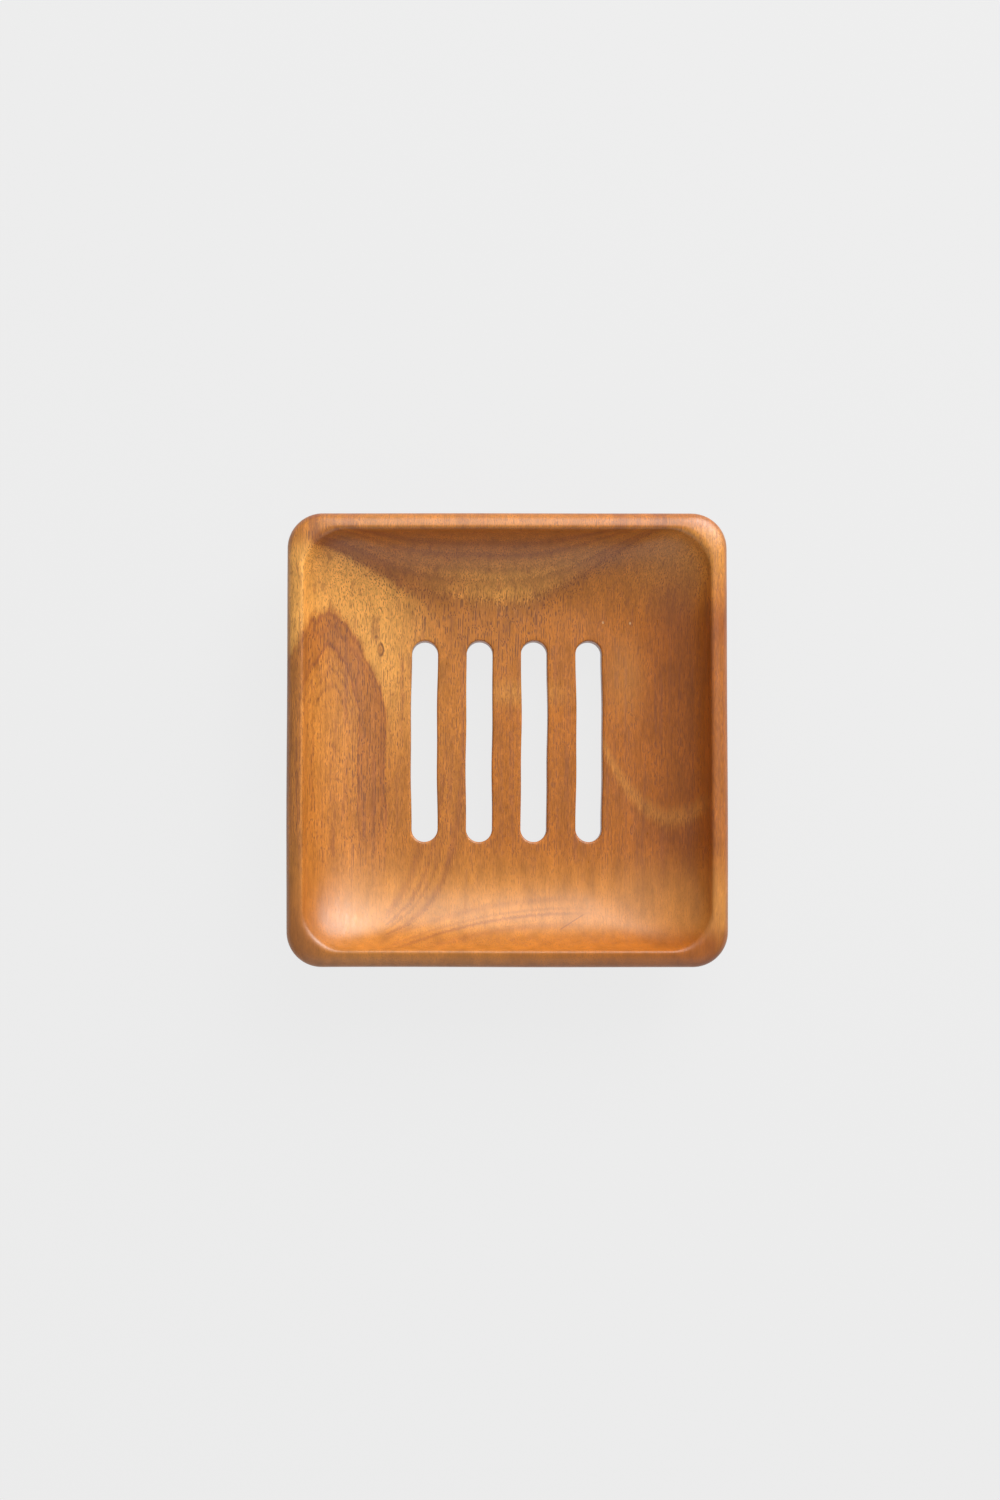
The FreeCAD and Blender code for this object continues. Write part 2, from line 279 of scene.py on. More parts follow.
def dish_profile(sizes):
    """The dish's profile as rows (half width, half length, corner radius, height), floor to rim to base.

    Cove: a quarter ellipse, in share 1 - cos a and down share sin a, its corner radius raised by sin 2a.
    Rim: two rounds that meet on its crown.
    Flank: a quarter of a superellipse, out share sin(a)^(2/p) and up share 1 - cos(a)^(2/p)."""
    base, crest = DISH_LOW.z, DISH_HIGH.z
    half = np.array([DISH_HIGH.x, DISH_HIGH.y])
    floor = base + sizes.floor_thickness
    crown_fall = sizes.rim_fall * (1 - sizes.rim_crown / sizes.rim_width)
    crest += sanded_off(sizes.rim_round_in, crown_fall)
    flank_start = flank_turn(sizes, crest - sizes.rim_fall - base)
    flank_in = sizes.flank_inset * (1 - math.sin(flank_start) ** (2 / sizes.flank_power))
    half += sanded_off(sizes.rim_crown, flank_in)
    floor_x = sizes.slot_pitch * (SLOT_COUNT - 1) / 2 + sizes.slot_width / 2 + sizes.floor_margin
    floor_y = sizes.slot_length / 2 + sizes.floor_margin
    floor_row = np.array([floor_x, floor_y, sizes.floor_corner, floor])
    mouth_row = np.array([*(half - sizes.rim_width), sizes.mouth_corner, crest])
    outline_row = np.array([*half, sizes.rim_corner, crest - sizes.rim_fall])
    base_row = np.array([*(half - sizes.flank_inset), sizes.base_corner, base])
    power = 2 / sizes.flank_power

    def cove(turn):
        turn = np.asarray(turn)[..., None]
        shares = np.concatenate([np.repeat(1 - np.cos(turn), 3, axis=-1), np.sin(turn)], axis=-1)
        ramp = np.array([0, 0, sizes.corner_fill, 0]) * np.sin(2 * turn)
        return mouth_row + (floor_row - mouth_row) * shares + ramp

    def flank(turn):
        turn = np.asarray(turn)[..., None]
        out = np.repeat(np.abs(np.sin(turn)) ** power, 3, axis=-1)
        up = 1 - np.abs(np.cos(turn)) ** power
        return base_row + (outline_row - base_row) * np.concatenate([out, up], axis=-1)

    cove_top = math.asin(sizes.rim_round_in / (crest - floor))
    crown = mouth_row + (outline_row - mouth_row) * (1 - sizes.rim_crown / sizes.rim_width)
    return np.concatenate(
        [
            cove(np.linspace(math.pi / 2, cove_top, COVE_STEPS + 1)),
            blend_corner(cove(cove_top), mouth_row, crown, ROUND_STEPS)[1:],
            blend_corner(crown, outline_row, flank(flank_start), ROUND_STEPS)[1:],
            flank(np.linspace(flank_start, 0, FLANK_STEPS + 1))[1:],
        ]
    )


def slot_rings(sizes, middle, cell, floor, base):
    """One drain slot from its cell on the floor to its cell on the base, as rings.

    The sanded edge at turn a stands r (1 - sin a) outside the wall and r (1 - cos a) under the floor."""
    turn = np.linspace(0, math.pi / 2, SLOT_ROUND_STEPS + 1)
    out = sizes.slot_round * (1 - np.sin(turn))
    down = sizes.slot_round * (1 - np.cos(turn))
    wall = np.linspace(floor - sizes.slot_round, base + sizes.slot_round, SLOT_WALL_STEPS + 1)[1:-1]
    stray = np.concatenate([out, np.zeros(len(wall)), out[::-1]])
    height = np.concatenate([floor - down, wall, base + down[::-1]])
    radius = sizes.slot_width / 2 + stray
    rows = np.stack([radius, sizes.slot_length / 2 + stray, radius, height], axis=-1)
    steps = (CELL_STEPS_X, CELL_STEPS_Y) * 2
    inside = corner_ring(rows, steps, SLOT_CORNER_STEPS)
    along, phase = inside[..., 1] / MM, middle / MM
    drift = sum(high * np.sin(along / long + way * phase) for long, way, high in SLOT_WAVES)
    inside[..., 0] += middle + drift * sizes.slot_waver
    upper = between_rings(at_height(cell, floor), inside[0], COLLAR_STEPS)
    lower = between_rings(inside[-1], at_height(cell, base), COLLAR_STEPS)
    return np.concatenate([upper[:-1], inside, lower[1:]])


def waver(points, reach):
    """Small drift of hand work: along each axis a sum of waves, high sin(x / across + y / along + phase).

    It follows the place itself, so that grids that meet stay joined. Upright it fades towards the base,
    which stays flat."""
    x, y = points[:, 0] / MM, points[:, 1] / MM
    drift = np.stack(
        [
            sum(high * np.sin(x / across + y / along + phase) for across, along, phase, high in waves)
            for waves in SANDING_WAVES
        ],
        axis=-1,
    )
    drift[:, 2] *= np.clip((points[:, 2] - DISH_LOW.z) / (DISH_HIGH.z - DISH_LOW.z), 0, 1)
    return points + drift * reach


def grid_faces(ring_count, ring_size, first):
    """Quads between rings that close on themselves."""
    ring, place = np.meshgrid(np.arange(ring_count - 1), np.arange(ring_size), indexing="ij")
    following = (place + 1) % ring_size
    low = first + ring * ring_size
    high = low + ring_size
    return np.stack([low + place, low + following, high + following, high + place], axis=-1).reshape(-1, 4)


def mesh_from_grids(name, grids, shape):
    """One closed mesh from grids of rings: seams merged, faces outwards, smooth."""
    points, faces, first = [], [], 0
    for grid in grids:
        rings, size = grid.shape[:2]
        points.append(grid.reshape(-1, 3))
        faces.append(grid_faces(rings, size, first))
        first += rings * size
    points = shape(np.concatenate(points))
    mesh = bpy.data.meshes.new(name)
    mesh.from_pydata(points.tolist(), [], np.concatenate(faces).tolist())
    work = bmesh.new()
    work.from_mesh(mesh)
    bmesh.ops.remove_doubles(work, verts=work.verts, dist=SEAM)
    bmesh.ops.recalc_face_normals(work, faces=work.faces)
    if not all(edge.is_manifold for edge in work.edges):
        raise RuntimeError(f"{name} isn't closed")
    work.to_mesh(mesh)
    work.free()
    mesh.polygons.foreach_set("use_smooth", np.ones(len(mesh.polygons), dtype=bool))
    return mesh


def dish_mesh(sizes):
    """The whole dish: the shell, the plates of floor and base, and the four slots."""
    profile = dish_profile(sizes)
    floor, base = profile[0, 3], profile[-1, 3]
    steps = (SLOT_COUNT * CELL_STEPS_X, CELL_STEPS_Y) * 2
    shell = corner_ring(profile, steps, CORNER_STEPS)
    half_x = sizes.slot_pitch * SLOT_COUNT / 2
    half_y = sizes.slot_length / 2 + (sizes.slot_pitch - sizes.slot_width) / 2
    field = ease_corners(square_ring(half_x, half_y, steps), half_x, half_y, sizes.cell_corner)
    grids = [
        shell,
        between_rings(at_height(field, floor), shell[0], PLATE_STEPS),
        between_rings(shell[-1], at_height(field, base), PLATE_STEPS),
    ]
    for slot in range(SLOT_COUNT):
        middle = sizes.slot_pitch * (slot - (SLOT_COUNT - 1) / 2)
        cell = square_ring(sizes.slot_pitch / 2, half_y, (CELL_STEPS_X, CELL_STEPS_Y) * 2)
        cell[:, 0] += middle
        cell = ease_corners(cell, half_x, half_y, sizes.cell_corner)
        grids.append(slot_rings(sizes, middle, cell, floor, base))
    return mesh_from_grids("carved_dish", grids, lambda points: waver(points, sizes.waver))


class Value:
    """A socket that can be used in sums: each operator adds a Math node to the socket's tree."""

    def __init__(self, tree, socket):
        self.tree = tree
        self.socket = socket

    def maths(self, operation, *others):
        return self.tree.node("ShaderNodeMath", {"operation": operation}, [self, *others])

    def __add__(self, other):
        return self.maths("ADD", other)

    def __sub__(self, other):
        return self.maths("SUBTRACT", other)

    def __mul__(self, other):
        return self.maths("MULTIPLY", other)

    def __truediv__(self, other):
        return self.maths("DIVIDE", other)

    def __rsub__(self, other):
        return self.tree.node("ShaderNodeMath", {"operation": "SUBTRACT"}, [other, self])

    def __rtruediv__(self, other):
        return self.tree.node("ShaderNodeMath", {"operation": "DIVIDE"}, [other, self])

    __radd__ = __add__
    __rmul__ = __mul__

    def ramp(self, low, high):
        """0 below low, 1 above high, and a smooth step between them."""
        return self.tree.node(
            "ShaderNodeMapRange",
            {"interpolation_type": "SMOOTHSTEP"},
            {"Value": self, "From Min": low, "From Max": high},
        )

    def band(self, middle, reach):
        """1 at the middle, and 0 from a reach away on either side."""
        return (self - middle).maths("ABSOLUTE").ramp(reach, 0)


class Place(NamedTuple):
    """A place on a piece: across the grain, along it and upwards, in millimetres."""

    x: Value
    y: Value
    z: Value


# Sockets of a Mix node that are used for colours, and how much of a relief shows
MIX_FACTOR, MIX_FIRST, MIX_LAST, MIX_RESULT = 0, 6, 7, 2
BUMP_STRENGTH = 0.2


class Finish:
    """A material's node tree, with one method that adds any node."""

    def __init__(self, name):
        self.material = bpy.data.materials.new(name)
        self.material.use_nodes = True
        self.nodes = self.material.node_tree.nodes
        self.links = self.material.node_tree.links
        self.nodes.clear()

    def node(self, kind, options=None, inputs=None, output=0):
        """Adds a node, applies its options, then sets or links its inputs, by name or in order."""
        made = self.nodes.new(kind)
        for key, value in (options or {}).items():
            if key == "stops":
                stops = made.color_ramp.elements
                for index, (place, shade) in enumerate(value):
                    stop = stops[index] if index < len(stops) else stops.new(place)
                    stop.position = place
                    stop.color = (*shade, 1)
            else:
                setattr(made, key, value)
        pairs = inputs.items() if isinstance(inputs, dict) else enumerate(inputs or ())
        for key, value in pairs:
            if isinstance(value, Value):
                self.links.new(value.socket, made.inputs[key])
            else:
                made.inputs[key].default_value = value
        return Value(self, made.outputs[output]) if made.outputs else None

    def place(self):
        """Place on the piece, in millimetres, as a vector and as its three values."""
        metres = self.node("ShaderNodeTexCoord", output="Object")
        vector = self.scaled(metres, 1 / MM)
        return vector, Place(*(self.node("ShaderNodeSeparateXYZ", None, [vector], axis) for axis in "XYZ"))

    def stretched(self, vector, size):
        """The place divided by three lengths in millimetres."""
        scale = tuple(1 / span for span in size)
        return self.node("ShaderNodeVectorMath", {"operation": "MULTIPLY"}, [vector, scale])

    def lumps(self, vector, size, detail=2.0, roughness=0.5):
        """Noise from 0 to 1 about 0.5, with lumps of this size in millimetres."""
        cells = self.stretched(vector, size)
        inputs = {"Vector": cells, "Scale": 1.0, "Detail": detail, "Roughness": roughness}
        return self.node("ShaderNodeTexNoise", {"noise_dimensions": "3D"}, inputs, "Fac")

    def mix(self, factor, first, last):
        """Goes from one colour to another."""
        first, last = (shade if isinstance(shade, Value) else (*shade, 1) for shade in (first, last))
        options = {"data_type": "RGBA", "clamp_factor": True}
        inputs = {MIX_FACTOR: factor, MIX_FIRST: first, MIX_LAST: last}
        return self.node("ShaderNodeMix", options, inputs, MIX_RESULT)

    def scaled(self, vector, factor):
        """A vector made longer or shorter, or a colour made lighter or darker."""
        return self.node("ShaderNodeVectorMath", {"operation": "SCALE"}, {"Vector": vector, "Scale": factor})

    def bump(self, depth, height):
        """The normal of a surface with a shallow relief of this depth in millimetres."""
        inputs = {"Strength": BUMP_STRENGTH, "Distance": depth * MM, "Height": height}
        return self.node("ShaderNodeBump", None, inputs)

    def surface(self, **inputs):
        """The material with a Principled surface of these inputs, underscores for spaces."""
        named = {key.replace("_", " "): value for key, value in inputs.items()}
        return self.finish(self.node("ShaderNodeBsdfPrincipled", None, named))

    def finish(self, shader):
        """Joins a shader to the output and gives the material."""
        self.node("ShaderNodeOutputMaterial", None, {"Surface": shader})
        return self.material


class Area(NamedTuple):
    """A part of the board: edges along each axis as (where it starts, where it is whole), and a strength."""

    x: tuple = ()
    y: tuple = ()
    z: tuple = ()
    share: float = 1.0

    def mask(self, place):
        """The strength inside the area, fading to 0 over its edges."""
        mask = self.share
        for value, edges in zip(place, (self.x, self.y, self.z)):
            for edge in edges:
                mask = value.ramp(*edge) * mask
        return mask


class Mark(NamedTuple):
    """An oval mark: its middle, half its size, where it starts and is whole, and its strength."""

    middle: tuple
    size: tuple
    edge: tuple
    share: float

    def far_from(self, place):
        """Distance from the mark's middle, 1 at the edge of the oval."""
        across = (place.x - self.middle[0]) / self.size[0]
        along = (place.y - self.middle[1]) / self.size[1]
        return (across * across + along * along).maths("SQRT")

    def mask(self, place):
        return self.far_from(place).ramp(*self.edge) * self.share


# Figure of the wood, with lengths in millimetres. Its growth layers rise towards the far end and fall away
# on both sides of a line, by lengths given over a span
LAYER_SPAN, LAYER_MIDDLE, LAYER_DRIFT = 50.0, -5.0, 1.3
LAYER_RISE, LAYER_FALL = 6.6, 28.5

# The board goes from golden to heart over this reach, and stays paler by a shift at its far end. Towards
# the right wall it is redder, as the wood is, and darker, partly as painted shade of that wall
BOARD_START, BOARD_REACH, BOARD_DRIFT = -38.0, 95.0, 14
BOARD_SHIFT, FAR_END = 42.0, Area(x=((-20, 30),), y=((22, 52),))
BOARD_STOPS = (("golden", 0.0), ("tawny", 0.36), ("russet", 0.68), ("heart_and_shade", 0.98))

# Paler and redder areas, and how golden and how pale the far corner is. The right rim's outer edge and the
# far corner are made golden and pale as painted light
SAPWOOD = Area(x=((-14, -32),), y=((-12, 26), (51, 44)))
RED_FLOOR = Area(x=((-14, -2), (28, 18)), y=((13, 5), (-34, -22)), share=0.65)
FAR_RIM = Area(x=((0, 34),), y=((50.5, 52),), share=0.5)
RIGHT_RIM_LIGHT = Area(x=((49.5, 51.5),), y=((30, 20),), share=0.35)
NEAR_WALL = Area(x=((-46, -34),), y=((-24, -40), (-50, -44)), share=0.35)
FAR_CORNER_LIGHT = Area(x=((24, 46),), y=((28, 48), (53, 50)))
CORNER_GOLDEN, CORNER_HONEY = 0.8, 0.3

# Pale wood between the slots, beyond the red floor: its middle, its reach and its strength
PALE_MIDDLE, PALE_REACH, PALE_SHARE = (4.0, 12.0), (16.0, 5.0), 0.35

# Dark lines of growth rings as (layer, reach, depth), how they repeat on the outside, how ragged they are
RINGS = ((11.2, 0.7, 0.3), (13.4, 0.9, 0.3), (15.4, 0.8, 0.24), (18.2, 1.2, 0.45), (21.5, 2.2, 0.5))
RING_PITCH, RING_REACH, RING_DEPTH = 3.4, 0.34, 0.5
RING_RAGGED = 0.3

# Far half: the layers of its dark U, the stretch across the grain that the U leaves free and its depth,
# then the amber wood within it likewise, paler partly as painted light on the lower far wall, and the dark
# top of the wall, painted shade under the rim
FAR_HALF = Area(y=((0, 16),))
U_START, U_END = (9.8, 12.2), (16.0, 12.0)
U_MIDDLE, U_REACH, U_DEPTH = -3.0, 30.0, 0.4
AMBER_START, AMBER_END = (10.4, 12.4), (19.0, 13.5)
AMBER_MIDDLE, AMBER_REACH, AMBER_AND_LIGHT_SHARE = 1.0, 34.0, 0.75
FAR_WALL_SHADE = Area(x=((46, -10), (-50, -42)), y=((0, 16), (52, 50)), z=((14.5, 20.5),), share=0.48)

# The dark arch on the pale side: its middle, the height where its legs turn straight, each edge's top and
# opening, the softness of its edges and its depth, then (distance, reach, depth) of lines along each edge
ARCH_MIDDLE, ARCH_LEGS = -43.6, 8.0
ARCH_OUTSIDE, ARCH_INSIDE = (30.8, 8.3), (22.5, 3.2)
ARCH_SOFT, ARCH_DEPTH = 2.2, 0.34
OUTSIDE_LINES = ((0.8, 1.2, 0.5), (3.8, 1.0, 0.3))
INSIDE_LINES = ((-0.8, 1.2, 0.55), (3.0, 0.9, 0.3), (5.6, 1.0, 0.4), (9.2, 1.3, 0.34))
LINE_SMOOTHING = 0.6

# Where the arch shows, what the left rim keeps of it, its pale inside, and where the wood round it starts
ARCH_SIDE = Area(y=((-44, -10),))
OFF_LEFT_RIM, LEFT_RIM_SHARE = Area(x=((-53, -47),), share=0.65), 0.35
ARCH_HOLLOW, HOLLOW_START = Area(y=((-20, 6),), share=0.15), (0, 4)
SAPWOOD_START, LATE_START = (1.5, -3.0), (1.5, -2.0)

# The pale cup on the red side: its middle, foot and opening, its pale line, and the dark line under it
CUP_SIDE = Area(x=((18, 26), (51, 46)))
CUP_MIDDLE, CUP_FOOT, CUP_OPENING, CUP_RAGGED = 41.0, -19.0, 16.0, 0.5
CUP_REACH, CUP_SHARE = 3.8, 0.27
CUP_DROP, CUP_DARK_REACH, CUP_DEPTH = 5.0, 4.5, 0.2

# Lines that sweep over the near wall: the upright and the level that a strand nears and its bend, then the
# top, the middle and the opening of a low arc, and for both (distance, reach, depth) of their dark lines
STRAND_SIDE = Area(y=((14, -16), (-52, -49)))
STRAND_UPRIGHT, STRAND_LEVEL, STRAND_BEND, STRAND_RAGGED = -9.0, -56.5, 210.0, 0.35
STRANDS = ((-5.6, 1.8, 0.34), (-2.4, 0.9, 0.48), (-0.4, 0.8, 0.34), (2.6, 1.6, 0.46))
ARC_SIDE = Area(x=((26, 8),), y=((-52, -49),))
ARC_TOP, ARC_MIDDLE, ARC_OPENING, ARC_RAGGED = -42.5, 16.3, 222.0, 0.14
ARCS = ((-2.6, 1.3, 0.28), (0.0, 0.7, 0.5), (1.3, 0.6, 0.28), (3.6, 1.2, 0.24))

# Outline of the dish as a superellipse of this power. Near it the wood is darker, painted shade where the
# flank turns from the lamps, and it is darker too under the dish and in one near corner of the hollow
HALF_WIDTH, HALF_LENGTH, OUTLINE_POWER = DISH_HIGH.x / MM, DISH_HIGH.y / MM, 14
OUTLINE_SHADE_START, OUTLINE_SHADE_SHARE = (0.74, 0.98), 0.48
UNDERSIDE = Area(z=((8.4, 6.0),))
NEAR_CORNER = Area(x=((-36, -50),), y=((-28, -46),), share=0.45)

# Small marks in the hollow: a pin knot and the eye beside it, a smudge, a pale patch and pale specks
HOLLOW = Area(z=((6.5, 8.5),))
KNOT = Mark((-31.2, 22.7), (0.9, 1.9), (1.0, 0.5), 0.45)
EYE = Mark((-32.2, 25.9), (0.5, 0.6), (1.0, 0.3), 0.6)
SMUDGE = Mark((41.0, 34.0), (6.0, 10.0), (1.3, 0.2), 0.45)
PATCH = Mark((29.5, 16.0), (5.5, 12.0), (1.4, 0.1), 0.17)
SPECKS = tuple(Mark(middle, (0.33, 0.42), (1.0, 0.4), 0.55) for middle in ((23.9, 29.5), (30.6, 29.3)))

# The knot's dark ring: its place on the way out, its reach, where its right side starts, its depth and how
# much darker the right side is
KNOT_RING, KNOT_REACH, KNOT_RIGHT = 0.75, 0.4, (-0.5, 0.4)
KNOT_DEPTH, KNOT_RIGHT_DEPTH = 0.35, 0.5

# A scratch: its middle, its turn, its edges across and ahead, and its strength
SCRATCH_MIDDLE, SCRATCH_TURN = (15.9, -44.6), math.radians(32)
SCRATCH_ACROSS, SCRATCH_AHEAD, SCRATCH_SHARE = (0.22, 0.06), (4.0, 2.8), 0.6

# Sizes of the wood's noises across the grain, along it and upwards, then of those in the tree's section
DRIFT_SIZE, WANDER_SIZE, WAVY_SIZE = (16, 48, 16), (3.2, 4.0, 3.2), (4.5, 9, 4.5)
FIBRE_SIZE, CLOUD_SIZE, DASH_SIZE = (0.3, 2.2, 0.3), (3.2, 11, 3.2), (0.2, 1.0, 0.2)
STREAK_SIZE, PORE_SIZE = (1.3, 1.6, 40), (0.55, 0.55, 1)

# How far the noises push the cross-section and the figure's lines
WANDER_ACROSS, WANDER_UP = 0.5, 2.4
RAGGED_FIBRE, RAGGED_STREAK, RAGGED_DRIFT, WAVY_REACH = 9, 5, 2, 6

# How the noises colour the wood, and the calmer end of the board, where they show less
BRIGHTNESS, CLOUD_SHARE = 1.04, 0.95
STREAK_EDGE, STREAK_SHARE = (0.02, 0.2), 0.45
DASH_EDGE, DASH_SHARE = (0.07, 0.2), 0.6
CALM_END = Area(y=((-24, -36),), share=0.6)

# Open pores: the edge of one, the layer that holds most of them, how crowded they are, and their strength
PORE_EDGE, PORE_LAYER, PORE_REACH = (0.3, 0.1), 10.6, 1.6
CROWD, CROWD_LAYER, CROWD_CLOUD, CROWD_EDGE = 0.5, 1.1, 1.2, (0.1, 0.9)
PORE_SHARE = 0.8

# Relief and gloss of the wood: shares of fibre and streak in the relief, and what roughens the lacquer
RELIEF, RELIEF_FIBRE, RELIEF_STREAK = 0.06, 0.6, 0.4
ROUGH_PORE, ROUGH_FIBRE, ROUGH_STREAK = 0.15, 0.35, 0.25
LACQUER_IOR = 1.65

# The feet and their film: two shades that clouds go between, sizes of cloud and grain, relief and roughness
CLOUD_EDGE = (0.3, 0.7)
SILICONE_PALE, SILICONE_DEEP = (0.78, 0.79, 0.78), (0.7, 0.71, 0.7)
SILICONE_CLOUD, SILICONE_GRAIN, SILICONE_RELIEF = (2.2, 2.2, 2.2), (0.18, 0.18, 0.18), 0.04
SILICONE_ROUGH, SILICONE_UNEVEN, SILICONE_CLEAR, SILICONE_IOR = 0.38, 0.15, 0.3, 1.41
FILM_PALE, FILM_DEEP, FILM_CLOUD = (0.74, 0.72, 0.66), (0.62, 0.6, 0.54), (0.9, 0.9, 0.9)
FILM_ROUGH, FILM_UNEVEN = 0.45, 0.2


def growth_layers(place):
    """Which layer of the tree a place lies in: height plus rise v³ less fall w³, in millimetres.

    v is the place along the grain, w the distance across it from the layers' middle, both over the span."""
    along = place.y / LAYER_SPAN
    aside = ((place.x - LAYER_MIDDLE) / LAYER_SPAN).maths("ABSOLUTE")
    return place.z + along * along * along * LAYER_RISE - aside * aside * aside * LAYER_FALL


def board_colour(finish, wood, place, drift):
    """The board's slow change from its golden side to its heart."""
    paler = FAR_END.mask(place) * BOARD_SHIFT
    across = (place.x - paler + drift * BOARD_DRIFT - BOARD_START) / BOARD_REACH
    stops = [(along, getattr(wood, name)) for name, along in BOARD_STOPS]
    return finish.node("ShaderNodeValToRGB", {"stops": stops}, [across])


def inside_arch(place, edge):
    """How far a place lies under an edge of the arch: top - height - across² / opening, in millimetres."""
    top, opening = edge
    across = place.x - ARCH_MIDDLE
    return top - place.y.maths("MAXIMUM", ARCH_LEGS) - across * across / opening


def above_cup(place):
    """How far a place lies above the cup's curve: place along the grain less across² / opening."""
    across = place.x - CUP_MIDDLE
    return place.y - across * across / CUP_OPENING


def dark_lines(distance, lines):
    """Lines that follow a curve, each as (distance from the curve, reach, depth)."""
    return sum(distance.band(middle, reach) * depth for middle, reach, depth in lines)


def colour_areas(finish, wood, shade, place, ring, cup, arch):
    """Mixes in the sapwood, then the red areas, the golden ones and the pale ones, with painted light on the
    right rim's edge, in the far corner and on the lower far wall.
    """
    outer, inner = arch
    below = ring.ramp(*reversed(U_START))
    sapwood = outer.ramp(*SAPWOOD_START) * SAPWOOD.mask(place) * below
    shade = finish.mix(sapwood, shade, wood.honey)
    shade = finish.mix(RED_FLOOR.mask(place) * below, shade, wood.russet)
    shade = finish.mix(FAR_RIM.mask(place), shade, wood.russet)
    # Painted light: the far corner made golden and pale, and the right rim's outer edge golden
    corner = FAR_CORNER_LIGHT.mask(place)
    shade = finish.mix(corner * CORNER_GOLDEN + RIGHT_RIM_LIGHT.mask(place), shade, wood.golden)
    # The amber wood is partly painted light on the lower far wall
    amber_and_light = ring.ramp(*AMBER_START) * ring.ramp(*AMBER_END) * place.x.band(AMBER_MIDDLE, AMBER_REACH)
    pale = amber_and_light * FAR_HALF.mask(place) * AMBER_AND_LIGHT_SHARE + corner * CORNER_HONEY + NEAR_WALL.mask(place)
    pale = pale + cup.band(CUP_FOOT, CUP_REACH) * CUP_SIDE.mask(place) * CUP_SHARE
    across = place.x.band(PALE_MIDDLE[0], PALE_REACH[0])
    along = place.y.band(PALE_MIDDLE[1], PALE_REACH[1])
    pale = pale + across * along * PALE_SHARE
    pale = pale + inner.ramp(*HOLLOW_START) * ARCH_HOLLOW.mask(place)
    return finish.mix(pale, shade, wood.honey)


def late_wood_and_wall_shade(place, ring, cup, ragged):
    """Dark late wood: U and rings of the far half, painted shade high on the far wall, rings outside, the
    cup, the strands and the arcs.
    """
    x, y = place.x, place.y
    u_shape = ring.ramp(*U_START) * ring.ramp(*U_END) * (1 - x.band(U_MIDDLE, U_REACH)) * U_DEPTH
    late_and_shade = (u_shape + dark_lines(ring, RINGS)) * FAR_HALF.mask(place) + FAR_WALL_SHADE.mask(place)
    late_and_shade = late_and_shade + cup.band(CUP_FOOT - CUP_DROP, CUP_DARK_REACH) * CUP_SIDE.mask(place) * CUP_DEPTH
    outside = (ring / RING_PITCH).maths("FRACT").band(0.5, RING_REACH) * RING_DEPTH
    late_and_shade = late_and_shade + outside * UNDERSIDE.mask(place)
    strand = x - STRAND_UPRIGHT + STRAND_BEND / (y - STRAND_LEVEL) + ragged * STRAND_RAGGED
    late_and_shade = late_and_shade + dark_lines(strand, STRANDS) * STRAND_SIDE.mask(place)
    arc = y - ARC_TOP + (x - ARC_MIDDLE) * (x - ARC_MIDDLE) / ARC_OPENING + ragged * ARC_RAGGED
    return late_and_shade + dark_lines(arc, ARCS) * ARC_SIDE.mask(place)


def arch_wood(place, arch, ragged):
    """The arch: dark between its two edges, with finer lines along both."""
    outer, inner = arch
    figure = outer.ramp(-ARCH_SOFT, ARCH_SOFT) * inner.ramp(ARCH_SOFT, -ARCH_SOFT) * ARCH_DEPTH
    smoothing = ragged * LINE_SMOOTHING
    figure = figure + dark_lines(outer - smoothing, OUTSIDE_LINES)
    figure = figure + dark_lines(inner - smoothing, INSIDE_LINES)
    return figure * ARCH_SIDE.mask(place) * (LEFT_RIM_SHARE + OFF_LEFT_RIM.mask(place))


def outline_shade_and_dark_corner(place):
    """Painted shade at the outline; darker too under the dish and in one near corner of the hollow."""
    across = (place.x / HALF_WIDTH).maths("POWER", OUTLINE_POWER)
    along = (place.y / HALF_LENGTH).maths("POWER", OUTLINE_POWER)
    outside = ((across + along).ramp(*OUTLINE_SHADE_START) + UNDERSIDE.mask(place)).maths("MINIMUM", 1)
    return NEAR_CORNER.mask(place) * (1 - outside) + outside * OUTLINE_SHADE_SHARE


def add_figure(finish, wood, shade, place, layer, ragged, wavy):
    """Colours the board's areas, some with painted light; darkens late wood, arch, underside and a near
    corner, and paints shade high on the far wall and at the outline; gives the arch as well.
    """
    ring = layer + ragged * RING_RAGGED
    cup = above_cup(place) + ragged * CUP_RAGGED
    arch = [inside_arch(place, edge) + ragged + wavy for edge in (ARCH_OUTSIDE, ARCH_INSIDE)]
    shade = colour_areas(finish, wood, shade, place, ring, cup, arch)
    late_and_shade = late_wood_and_wall_shade(place, ring, cup, ragged) * arch[0].ramp(*LATE_START)
    figure = arch_wood(place, arch, ragged)
    return finish.mix(late_and_shade + figure + outline_shade_and_dark_corner(place), shade, wood.umber), figure


def scratch_mask(place):
    """A short straight scratch, turned from the X axis."""
    turn_x, turn_y = math.cos(SCRATCH_TURN), math.sin(SCRATCH_TURN)
    across, along = place.x - SCRATCH_MIDDLE[0], place.y - SCRATCH_MIDDLE[1]
    aside = (along * turn_x - across * turn_y).maths("ABSOLUTE")
    ahead = (across * turn_x + along * turn_y).maths("ABSOLUTE")
    return aside.ramp(*SCRATCH_ACROSS) * ahead.ramp(*SCRATCH_AHEAD) * SCRATCH_SHARE


